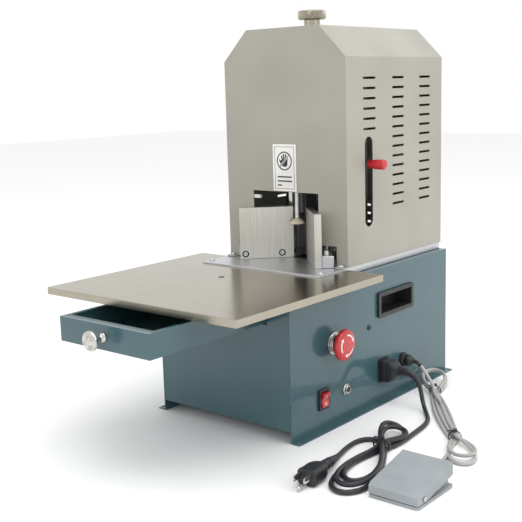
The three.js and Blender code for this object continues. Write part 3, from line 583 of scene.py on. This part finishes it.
MAINS_DIAMETER = 0.0056
MAINS_LIES = 2.9  # height in millimetres of the cord's middle where it lies flat
MAINS_ROUTE = [
    (0.1396, 0.1955, 0.0440), (0.1434, 0.1955, 0.0438), (0.1474, 0.1955, 0.0428), (0.1526, 0.1953, 0.0400),
    (0.1575, 0.1950, 0.0354), (0.1610, 0.1946, 0.0295), (0.1636, 0.1936, 0.0230), (0.1662, 0.1918, 0.0165),
    (0.1696, 0.1888, 0.0104), (0.1744, 0.1842, 0.0056), (0.1804, 0.1774, 0.0033), (0.1870, 0.1688, 0.0029),
    (0.1934, 0.1590, 0.0029), (0.1986, 0.1470, 0.0029), (0.2020, 0.1330, 0.0029), (0.2038, 0.1180, 0.0029),
]
INTO_MAINS_HANK = [(205.4, 102, MAINS_LIES), (206.9, 84, MAINS_LIES), (207.4, 64, MAINS_LIES)]
OUT_OF_MAINS_HANK = [(190.2, 54.5, MAINS_LIES), (182.6, 61, MAINS_LIES), (173.8, 60.6, MAINS_LIES)]
PLUG_ROUTE = [
    (0.1663, 0.0506, 0.0030), (0.1648, 0.0430, 0.0029), (0.1654, 0.0310, 0.0029), (0.1674, 0.0185, 0.0030),
    (0.1706, 0.0060, 0.0032), (0.1746, -0.0070, 0.0044), (0.1788, -0.0190, 0.0066),
    (0.1820, -0.0290, 0.0084), (0.1841, -0.0371, 0.0094),
]
MAINS_TIE = (200.5, 43)


def mains_points():
    def at_tie(slot):
        return (MAINS_TIE[0] + 0.9 * slot[0], MAINS_TIE[1] + 0.43 * slot[0], slot[1])

    # Each strand's place in the tie, (across, up), in the order that the cord passes it.
    slots = [(5.8, MAINS_LIES), (0, MAINS_LIES), (2.9, 7.9), (-2.9, 7.9), (0, 11.6), (-5.8, MAINS_LIES)]
    bends = [
        hank_bend(MAINS_TIE, (229.5, -79), 21.5, slots[0], slots[1], MAINS_LIES),
        hank_bend(MAINS_TIE, (183, 104), -13, slots[1], slots[2], MAINS_LIES, lean=0.45),
        hank_bend(MAINS_TIE, (222, -50), 16, slots[2], slots[3], MAINS_LIES),
        hank_bend(MAINS_TIE, (194, 94), -12.5, slots[3], slots[4], 8, lean=0.2),
        hank_bend(MAINS_TIE, (230, -71), 20, slots[4], slots[5], 8.4),
    ]
    loose = INTO_MAINS_HANK + [at_tie(slots[0])]
    for bend, slot in zip(bends, slots[1:]):
        loose += bend + [at_tie(slot)]
    loose += OUT_OF_MAINS_HANK
    return from_route(MAINS_ROUTE) + [at(*point) for point in loose] + from_route(PLUG_ROUTE)


PEDAL_DIAMETER = 0.0042
PEDAL_LIES = 2.2
PEDAL_ROUTE = [
    (0.1242, 0.2440, 0.0438), (0.1290, 0.2440, 0.0428), (0.1346, 0.2440, 0.0390), (0.1398, 0.2440, 0.0334),
    (0.1446, 0.2436, 0.0274), (0.1490, 0.2424, 0.0226), (0.1532, 0.2404, 0.0192),
]
PEDAL_TAIL = [
    (0.2698, 0.0640, 0.0023), (0.2742, 0.0460, 0.0024), (0.2774, 0.0310, 0.0042), (0.2798, 0.0180, 0.0072),
    (0.2810, 0.0086, 0.0086),
]
UPPER_TIE = (151.5, 251.5)
LOWER_TIE = (253, 117)


def pedal_points():
    def at_tie(tie, slot):
        return (tie[0] + 0.8 * slot[0], tie[1] + 0.6 * slot[0], slot[1])

    def between_ties(start, end, bow, steps=7):
        """A strand from the upper tie to the lower one, bowed aside by some millimetres."""
        points = []
        for k in range(1, steps):
            t = k / steps
            aside = start[0] * (1 - t) + end[0] * t + bow * math.sin(math.pi * t)
            height = (PEDAL_LIES + (start[1] - PEDAL_LIES) * ease(t * 2.4)
                      + (end[1] - PEDAL_LIES) * ease((1 - t) * 2.4))
            points.append((UPPER_TIE[0] + (LOWER_TIE[0] - UPPER_TIE[0]) * t + 0.8 * aside,
                           UPPER_TIE[1] + (LOWER_TIE[1] - UPPER_TIE[1]) * t + 0.6 * aside, height))
        return points

    # Each strand's place in both ties, (across, up).
    top, right, left, high_right, high_left, last = (
        (0, 9.6), (4.3, PEDAL_LIES), (-4.3, PEDAL_LIES), (2.2, 5.9), (-2.2, 5.9), (0, PEDAL_LIES))
    stretches = [
        [(158, 236, 14.8), (163.8, 229, 11)],
        between_ties(top, top, 3)[1:],
        [at_tie(LOWER_TIE, top)],
        hank_bend(LOWER_TIE, (296, 60), 14.5, top, right, PEDAL_LIES, 1.1),
        [at_tie(LOWER_TIE, right)],
        between_ties(right, right, 3)[::-1],
        [at_tie(UPPER_TIE, right)],
        hank_bend(UPPER_TIE, (117, 309), 15, right, left, 4.2, 1.0, rise=9),
        [at_tie(UPPER_TIE, left)],
        between_ties(left, left, -6),
        [at_tie(LOWER_TIE, left)],
        hank_bend(LOWER_TIE, (291, 73), -13.5, left, high_right, 6.4, 1.1),
        [at_tie(LOWER_TIE, high_right)],
        between_ties(high_right, high_right, -1)[::-1],
        [at_tie(UPPER_TIE, high_right)],
        hank_bend(UPPER_TIE, (121, 301), 14, high_right, high_left, 8.6, 1.0, rise=9),
        [at_tie(UPPER_TIE, high_left)],
        between_ties(high_left, last, -3.5),
        [at_tie(LOWER_TIE, last)],
        [(257.6, 104, PEDAL_LIES), (262, 92, PEDAL_LIES), (266.4, 78, PEDAL_LIES)],
    ]
    loose = [point for stretch in stretches for point in stretch]
    return from_route(PEDAL_ROUTE) + [at(*point) for point in loose] + from_route(PEDAL_TAIL)


def add_strain_relief(name, path, start_mm, end_mm, ribs, slot):
    """A ribbed sleeve along a cord's path, tapering almost to the cord's own thickness."""
    line = along_path(path, 12)
    radii = []
    for i in range(len(line)):
        share = i / (len(line) - 1)
        radius = start_mm + (end_mm - start_mm) * share
        if 0.1 < share < 0.94:
            radius -= 0.13 * start_mm * (math.sin(2 * math.pi * ribs * share) > 0.1)
        radii.append(radius)
    built = bmesh.new()
    sleeve(built, line, radii)
    return add_piece(name, built, LOOKS[slot], "machine")


def add_cable_tie(name, place, heading, half_width, height):
    """A strap round a bundle that lies on the floor, with its head and cut tail on top."""
    along = Vector((heading[0], heading[1], 0)).normalized()
    across = Vector((along.y, -along.x, 0))
    up = Vector((0, 0, 1))
    sides = 28
    built = bmesh.new()
    rings = []
    for k in range(sides):
        angle = 2 * math.pi * k / sides
        lift = height / 2 + height / 2 * math.sin(angle)
        ring = []
        for grow, shift in ((0, -1.3), (1.0, -1.3), (1.0, 1.3), (0, 1.3)):
            ring.append(place + across * ((half_width + grow) * math.cos(angle) / 1000)
                        + up * (max(0.2, lift + grow * math.sin(angle)) / 1000) + along * (shift / 1000))
        rings.append(ring)
    add_rings(built, rings, closed=True)
    head = place + up * ((height + 1.2) / 1000)
    slab(built, rounded_box(-2.6, 2.6, -2.2, 2.2, 0.7), -1.2, 3.0, head, across, along)
    slab(built, rounded_box(2.4, 9.5, -1.1, 1.1, 0.5), -0.6, 1.0, head, across, along)
    add_piece(name, built, LOOKS["black_plastic"], "machine")


def add_cords():
    mains = mains_points()
    mains_lead = cord_curve("mains_lead", mains, MAINS_DIAMETER, "black_rubber")
    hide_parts("mains_cord", "mains_hank", "mains_tail")
    pedal = pedal_points()
    pedal_lead = cord_curve("foot_switch_lead", pedal, PEDAL_DIAMETER, "grey_rubber")
    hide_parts("pedal_cord", "pedal_hank", "pedal_tail")

    from_connector = [at(128, 195.5, 44), at(134, 195.5, 44)] + mains[:6]
    relief = add_strain_relief("connector_relief", from_connector, 6.4, 3.2, 7, "black_rubber")
    from_plug = [WALL_PLUG_PLACE + WALL_PLUG_AXIS * 0.016] + mains[:-5:-1]
    plug_relief = add_strain_relief("plug_relief", from_plug, 6.6, 3.1, 6, "black_rubber")
    gland_relief = add_strain_relief("gland_relief", [at(121, *GLAND_YZ)] + pedal[:3],
                                     3.3, 2.5, 3, "black_plastic")
    entry_relief = add_strain_relief("foot_switch_relief", [at(281.6, 2.5, 8.8)] + pedal[:-3:-1],
                                     3.6, 2.6, 4, "grey_rubber")
    ties = (("mains_tie", MAINS_TIE, (0.2, -1), 9.4, 15.2),
            ("upper_pedal_tie", UPPER_TIE, (0.6, -0.8), 6.9, 12.4),
            ("lower_pedal_tie", LOWER_TIE, (0.6, -0.8), 6.9, 12.4))
    for name, (x, y), heading, half_width, height in ties:
        add_cable_tie(name, at(x, y, 0.0), heading, half_width, height)


# ---------------------------------------------------------------- turned parts

X_OUT = (1, 0, 0)
FRONT_OUT = (0, -1, 0)
UPWARD = (0, 0, 1)


def add_turned_parts():
    turned_piece("drawer_knob_fine", at(0, -186.1, 155.25), FRONT_OUT, smooth_profile([
        (0, 0), (5.2, 0), (5.2, 1.4), (4.4, 2.4), (3.3, 4.2), (3.0, 8), (3.3, 11.4), (5.4, 13.4),
        (8.6, 14.8), (10.7, 16.0), (11, 17.4), (10.6, 19.0), (9.4, 19.9), (8.2, 19.5), (7.4, 18.4),
        (6.4, 18.2), (5.4, 19.2), (3.2, 20.8), (0, 21.4)]), "chrome", "drawer", "drawer_knob")
    turned_piece("hood_nut_fine", at(0, 195.5, 0), UPWARD, [
        (0, 503.5), (5.4, 503.5), (5.4, 483.7), (9.9, 483.7), (10.4, 484.2), (10.4, 494.2), (10.0, 494.6),
        (15.8, 495.0), (17.2, 495.5), (17.8, 496.5, KNURL), (18.0, 497.5, KNURL), (18.0, 504.0, KNURL),
        (17.8, 505.0, KNURL), (17.0, 506.0), (15.8, 506.4), (6.2, 506.4), (5.6, 505.6), (5.2, 505.2),
        (0, 505.2)], "stainless", "hood_nut", "hood_knob", sides=144)
    turned_piece("presser_foot_fine", at(0, 155.6, 232.9), UPWARD, smooth_profile([
        (0, 0), (7.0, 0), (8.9, 0.3), (9.4, 1.4), (9.1, 2.6), (7.6, 4.2), (5.2, 5.8), (4.2, 6.6),
        (3.9, 7.2), (0, 7.2)]), "cream_rubber", "presser", "presser_foot")
    turned_piece("presser_knob_fine", at(97.8, 179.3, 312), X_OUT, [
        (0, 16), (4.3, 16), (4.3, 0), (5.3, 0), (5.6, 0.4), (5.6, 6.6), (6.1, 8.2), (6.3, 9), (6.3, 20.6),
        (6.1, 21.8), (5.4, 22.8), (4.2, 23.3), (0, 23.5)], "red_plastic", "presser_grip", "presser_knob")
    turned_piece("estop_bezel_fine", at(FACE_MM, *ESTOP_YZ), X_OUT, [
        (6, -18), (10.8, -18), (10.8, 0), (13.6, 0), (14, 0.4), (14, 1.7), (13.6, 2.2), (12.6, 2.5),
        (12.2, 3.0), (12.5, 3.5), (12.5, 4.3), (12.1, 4.9), (11.2, 5.3), (10.9, 6.0), (6.2, 6.0),
        (6.2, 4.6)],
        "chrome", "machine", "estop_bezel")
    turned_piece("estop_button_fine", at(ESTOP_HEAD_MM, *ESTOP_YZ), X_OUT, smooth_profile([
        (0, 0), (8, 0), (12, 0.4), (17.4, 1.4), (19.1, 2.4), (19.5, 3.8), (19.4, 5.2), (18.8, 6.6),
        (17.2, 7.9), (14, 8.8), (8, 9.4), (0, 9.6)]),
        "red_plastic", "estop_head", "estop_button", sides=120)
    turned_piece("fuse_holder_fine", at(FACE_MM, *FUSE_YZ), X_OUT, [
        (0, -24), (5.7, -24), (5.7, 0), (6.6, 0, HEX), (6.6, 1.4, HEX), (6.2, 1.8), (5.5, 2.2), (5.5, 3.8),
        (5.1, 4.3), (3.6, 4.4), (3.4, 3.5), (0, 3.5)], "chrome", "machine", "fuse_holder")
    built = bmesh.new()
    cap = [(0, 0), (3.1, 0), (3.1, 0.6), (2.8, 0.8), (0, 0.8)]
    turned(built, at(FACE_MM + 3.6, *FUSE_YZ), X_OUT, cap, 48)
    add_piece("fuse_cap", built, LOOKS["black_plastic"], "machine")
    turned_piece("pedal_gland_fine", at(FACE_MM, *GLAND_YZ), X_OUT, [
        (0, -8), (6, -8), (6, 0), (8.3, 0, HEX), (8.4, 0.5, HEX), (8.4, 4.6, HEX), (8.0, 5.1), (7.2, 5.6),
        (7.2, 6.4), (7.6, 6.8, KNURL), (7.6, 11.6, KNURL), (6.8, 13.2), (5.2, 15.4), (3.8, 17.2),
        (3.3, 18), (0, 18)], "black_plastic", "machine", "pedal_gland")


def screw(built, place, axis, head_radius, head_height, socket_radius):
    """A screw head with a hexagonal socket, its underside on the place given."""
    turned(built, place, axis, [
        (0, -1.2), (head_radius * 0.6, -1.2), (head_radius * 0.6, 0), (head_radius, 0),
        (head_radius, head_height * 0.72), (head_radius * 0.9, head_height),
        (socket_radius * 1.25, head_height), (socket_radius * 1.02, head_height - 0.3, HEX),
        (socket_radius, head_height * 0.35, HEX), (0, head_height * 0.3)], 48)


FENCE_STARTS = ((-1, 14.5), (1, 19))  # side of the machine, and how far the fence starts from the apex
FENCE_SCREWS = (15.5, 64.5)  # from the fence's inner end
FENCE_APEX = (170, 186.9)  # where the fences' faces would meet: y, and their underside's height
FENCE_HOLE_HEIGHT = 0.0065  # metres, as in the next line
FOOT_SCREW = {"along": 0.058, "behind": 0.0168, "height": 0.015}  # from the fence's corner


def fence_frame(side, start):
    """A fence's inner front corner on the bed, its way outward and its front face's way out."""
    along = Vector((side, -1, 0)).normalized()
    out = Vector((-side, -1, 0)).normalized()
    apex_y, bottom = FENCE_APEX
    return at(side * start / math.sqrt(2), apex_y - start / math.sqrt(2), bottom), along, out


def fence_holes():
    """The holes in both fences' faces: each one's place on the face, and the face's way out."""
    for side, start in FENCE_STARTS:
        corner, along, out = fence_frame(side, start)
        for reach in FENCE_SCREWS:
            yield corner + along * reach / 1000 + Vector((0, 0, FENCE_HOLE_HEIGHT)), out


def add_screws():
    """Socket screws of the fences, bed, hood and covers, black cups in the fences' counterbores that paint
    the shade around their heads, and two panel screws.
    """
    built = bmesh.new()
    for hole, out in fence_holes():
        screw(built, hole - out * 0.0036, out, 3.2, 2.4, 1.5)
    for side, start in FENCE_STARTS:
        corner, along, out = fence_frame(side, start)
        place = corner + along * FOOT_SCREW["along"] - out * FOOT_SCREW["behind"]
        screw(built, place + Vector((0, 0, FOOT_SCREW["height"])), UPWARD, 4.2, 5.0, 2.0)
    for side in (-1, 1):
        screw(built, at(side * 89, 84, BED_TOP_MM), UPWARD, 3.6, 1.6, 1.5)
        screw(built, at(side * 89, 126.4, 188.4), UPWARD, 3.9, 2.0, 1.6)
        for x in (60, 88):
            screw(built, at(side * x, 364, 168), (0, 1, 0), 3.2, 1.8, 1.4)
    for x, z in ((78, 200), (74, 430)):
        for side in (-1, 1):
            screw(built, at(side * x, 361.9, z), (0, 1, 0), 3.2, 1.8, 1.4)
    add_piece("socket_screws", built, LOOKS["steel"], "machine")
    built = bmesh.new()
    # Black cups lining the fences' counterbores: painted shade for the shadowed gap round each screw head,
    # not real washers.
    counterbore_shade_cup = [(2.4, 0.1), (4.5, 0.1), (4.5, 3.4), (4.2, 3.4), (4.2, 0.9), (2.4, 0.9)]
    for hole, out in fence_holes():
        turned(built, hole - out * 0.0046, out, counterbore_shade_cup, 48)
    add_piece("fence_counterbore_shade", built, LOOKS["black_plastic"], "machine")
    built = bmesh.new()
    screw(built, at(105.1, 164, 105), X_OUT, 3.4, 1.6, 1.4)
    screw(built, at(105.1, 214, 42), X_OUT, 2.2, 1.2, 1.0)
    add_piece("panel_screws", built, LOOKS["dark_steel"], "machine")


# ---------------------------------------------------------------- connector and wall plug

def loft_block(built, origin, axis, sections, corner_steps=5):
    """Skins rounded rectangles set along an axis: (place, half width, half height, corner, lift)."""
    across, up, axis = axes_of(axis)
    rings = []
    for place, half_width, half_height, corner, lift in sections:
        outline = rounded_box(-half_width, half_width, -half_height, half_height, corner, corner_steps)
        rings.append([origin + axis * (place / 1000) + across * (u / 1000) + up * ((v + lift) / 1000)
                      for u, v in outline])
    add_rings(built, rings)


def add_connector():
    built = bmesh.new()
    loft_block(built, at(0, *INLET_YZ), X_OUT, [
        (104.6, 7.2, 11.2, 2, 0), (107.4, 7.2, 11.2, 2, 0), (107.6, 9.6, 13.7, 2.4, 0),
        (108.2, 10.4, 14.4, 3, 0), (113.5, 10.5, 14.5, 3, 0), (114.1, 9.9, 13.9, 3, 0),
        (115.0, 9.9, 13.9, 3, 0), (115.6, 10.4, 14.4, 3, 0), (120, 10.2, 13.8, 3.4, 0.2),
        (124, 9.6, 12.2, 4, 0.6), (127.4, 8.4, 10.0, 4.6, 1.2), (129.2, 7.2, 8.0, 5, 1.7),
        (131, 6.4, 6.8, 5.4, 2)])
    for side in (-1, 1):
        for k in range(4):
            ridge = at(116.6 + 2.2 * k, INLET_YZ[0] + side * 10.0, INLET_YZ[1])
            slab(built, rounded_box(-0.5, 0.5, -7, 7, 0.4), -0.3, 0.8, ridge,
                 Vector((side, 0, 0)), Vector(UPWARD))
    body = add_piece("connector_body", built, LOOKS["black_rubber"], "machine")
    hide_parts("mains_connector")


WALL_PLUG_PLACE = at(184.2, -38, 9.4)
WALL_PLUG_TURN = 0.1
WALL_PLUG_AXIS = Vector((math.sin(WALL_PLUG_TURN), -math.cos(WALL_PLUG_TURN), 0))


def add_wall_plug():
    built = bmesh.new()
    loft_block(built, WALL_PLUG_PLACE, WALL_PLUG_AXIS, [
        (10, 5.6, 5.6, 4.4, 0), (13, 6.8, 6.4, 4.6, 0), (16, 8.6, 7.4, 4.8, 0), (20, 10.2, 8.3, 5, 0),
        (25, 11.4, 8.8, 5.2, 0), (30, 11.7, 8.9, 5.4, 0), (36, 11.2, 8.8, 5.2, 0), (41, 11.6, 9.0, 5, 0),
        (44.6, 11.8, 9.0, 4.8, 0), (45.6, 11.3, 8.6, 4.4, 0), (46, 10.4, 7.8, 4, 0)])
    across = axes_of(WALL_PLUG_AXIS)[0]
    for side in (-1, 1):
        for k in range(5):
            ridge = WALL_PLUG_PLACE + WALL_PLUG_AXIS * ((26 + 2.6 * k) / 1000) + across * (side * 0.0110)
            slab(built, rounded_box(-0.6, 0.6, -4.6, 4.6, 0.5), -0.3, 1.0, ridge,
                 WALL_PLUG_AXIS * side, Vector(UPWARD))
    body = add_piece("wall_plug_body", built, LOOKS["black_rubber"], "machine")
    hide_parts("wall_plug")
    built = bmesh.new()
    for side in (-1, 1):
        blade = WALL_PLUG_PLACE + across * (side * 0.00635) + Vector((0, 0, 0.003))
        loft_block(built, blade, WALL_PLUG_AXIS, [
            (45, 0.75, 3.15, 0.3, 0), (60.4, 0.75, 3.15, 0.3, 0), (61.6, 0.55, 2.5, 0.3, 0),
            (62, 0.3, 1.8, 0.2, 0)], 2)
    pin = WALL_PLUG_PLACE + Vector((0, 0, -0.0054))
    pin_profile = [(0, 45), (2.4, 45), (2.4, 61.6), (2.0, 63), (1.1, 63.9), (0, 64)]
    turned(built, pin, WALL_PLUG_AXIS, pin_profile, 32)
    add_piece("wall_plug_blades", built, LOOKS["chrome"], "machine")


# ---------------------------------------------------------------- printed and moulded marks

def hand_outline():
    """An open hand seen from its palm, in millimetres about the middle of its palm."""
    fingers = [(-3.0, 1.6, 108, 3.4), (-1.1, 2.4, 97, 4.3), (0.9, 2.4, 85, 4.2), (2.7, 1.6, 72, 3.3)]
    outline = [(3.3, -1.2)]
    for x, y, lean, length in reversed(fingers):
        angle = math.radians(lean)
        tip = (x + length * math.cos(angle), y + length * math.sin(angle))
        side = (0.78 * math.sin(angle), -0.78 * math.cos(angle))
        outline += [(x + side[0], y + side[1]), (tip[0] + side[0], tip[1] + side[1]),
                    (tip[0] + 0.6 * math.cos(angle), tip[1] + 0.6 * math.sin(angle)),
                    (tip[0] - side[0], tip[1] - side[1]), (x - side[0], y - side[1])]
    thumb = [(-5.6, 0.2), (-6.6, 1.6), (-7.5, 1.0)]
    palm = [(-5.4, -2.8), (-2.6, -5.6), (1.8, -5.8), (3.2, -4.0)]
    return outline + thumb + palm


def add_sign():
    """A no-hands pictogram over three plain bars, inside a thin frame."""
    origin = at(0.85, HOOD_FRONT_MM - 0.8, 308.4)
    across, up = Vector((1, 0, 0)), Vector(UPWARD)
    thin = 0.12
    built = bmesh.new()
    circle = origin + up * 0.0088
    for half in (0, 180):
        slab(built, arc_band(11.3, 1.5, half, half + 180, 32), 0, thin, circle, across, up)
    slab(built, [(1.28 * u + 0.8, 1.28 * v) for u, v in hand_outline()], 0, thin, circle, across, up)
    for row, (left, right) in enumerate(((-11.5, 11.3), (-11.5, 11.9), (-11.5, -4.6))):
        v = -11.6 - 5.4 * row
        slab(built, rounded_box(left, right, v - 0.85, v + 0.85, 0.3), 0, thin, origin, across, up)
    for u0, u1, v0, v1 in ((-15.7, -15.2, -27, 27), (15.2, 15.7, -27, 27), (-15.2, 15.2, 26.5, 27),
                           (-15.2, 15.2, -27, -26.5)):
        slab(built, [(u0, v0), (u1, v0), (u1, v1), (u0, v1)], 0, thin, origin, across, up)
    add_piece("sign_print", built, INK_BLACK, "machine")
    built = bmesh.new()
    leaning, raised = (across + up).normalized(), (up - across).normalized()
    slab(built, rounded_box(-10.6, 10.6, -1.1, 1.1, 0.1), thin, 0.08, circle, leaning, raised)
    add_piece("sign_gap", built, INK_WHITE, "machine")
    built = bmesh.new()
    slab(built, rounded_box(-10.8, 10.8, -0.5, 0.5, 0.1), thin + 0.08, 0.08, circle, leaning, raised)
    add_piece("sign_slash", built, INK_BLACK, "machine")


def button_height(radius):
    """How far the emergency stop's face stands out at a radius, in millimetres."""
    curve = [(0, 9.6), (8, 9.4), (14, 8.8), (17.2, 7.9), (18.8, 6.6)]
    for (r0, h0), (r1, h1) in zip(curve, curve[1:]):
        if radius <= r1:
            return h0 + (h1 - h0) * (radius - r0) / (r1 - r0)
    return curve[-1][1]


def add_button_arrows():
    """Three curved arrows, clockwise, laid on the emergency stop's domed face."""
    centre = at(ESTOP_HEAD_MM, *ESTOP_YZ)
    across, up, axis = axes_of(X_OUT)
    built = bmesh.new()

    def on_face(radius, degrees, lift):
        angle = math.radians(degrees)
        return (centre + (across * math.cos(angle) + up * math.sin(angle)) * (radius / 1000)
                + axis * ((button_height(radius) + lift) / 1000))

    for first in (-25, 95, 215):
        steps = 14
        rows = [(first - 66 * k / steps, 0.95 if k > 2 else 0.35 + 0.25 * k) for k in range(steps + 1)]
        rows += [(first - 66.5, 2.5), (first - 76, 1.4), (first - 86, 0.1)]
        rings = []
        for degrees, half in rows:
            rings.append([on_face(12.4 - half, degrees, -0.2), on_face(12.4 + half, degrees, -0.2),
                          on_face(12.4 + half, degrees, 0.14), on_face(12.4, degrees, 0.18),
                          on_face(12.4 - half, degrees, 0.14)])
        add_rings(built, rings)
    add_piece("button_arrows", built, INK_WHITE, "estop_head")


def add_rocker_marks():
    """A bar and a ring, the usual on and off marks, on the rocker's two halves."""
    built = bmesh.new()
    pivot = at(FACE_MM - 4, *ROCKER_YZ)
    tilt = Matrix.Rotation(math.radians(7), 3, "Y")
    bar = [rounded_box(-0.35, 0.35, -2, 2, 0.15)]
    ring = [arc_band(1.7, 0.6, half, half + 180, 16) for half in (0, 180)]
    for v, slope, mark in ((4.6, 1, bar), (-4.6, -1, ring)):
        up = tilt @ Vector((0.31 * slope, 0, 0.951)).normalized()
        across = tilt @ Vector((0, 1, 0))
        origin = pivot + tilt @ Vector((8.7, 0, v)) / 1000
        for outline in mark:
            slab(built, outline, 0.0, 0.16, origin, across, up)
    add_piece("rocker_marks", built, INK_WHITE, "rocker")


# ---------------------------------------------------------------- assembly

add_camera()
add_floor()
add_lights()
dress_cad_nodes()
add_turned_parts()
add_screws()
add_connector()
add_wall_plug()
add_cords()
add_sign()
add_button_arrows()
add_rocker_marks()
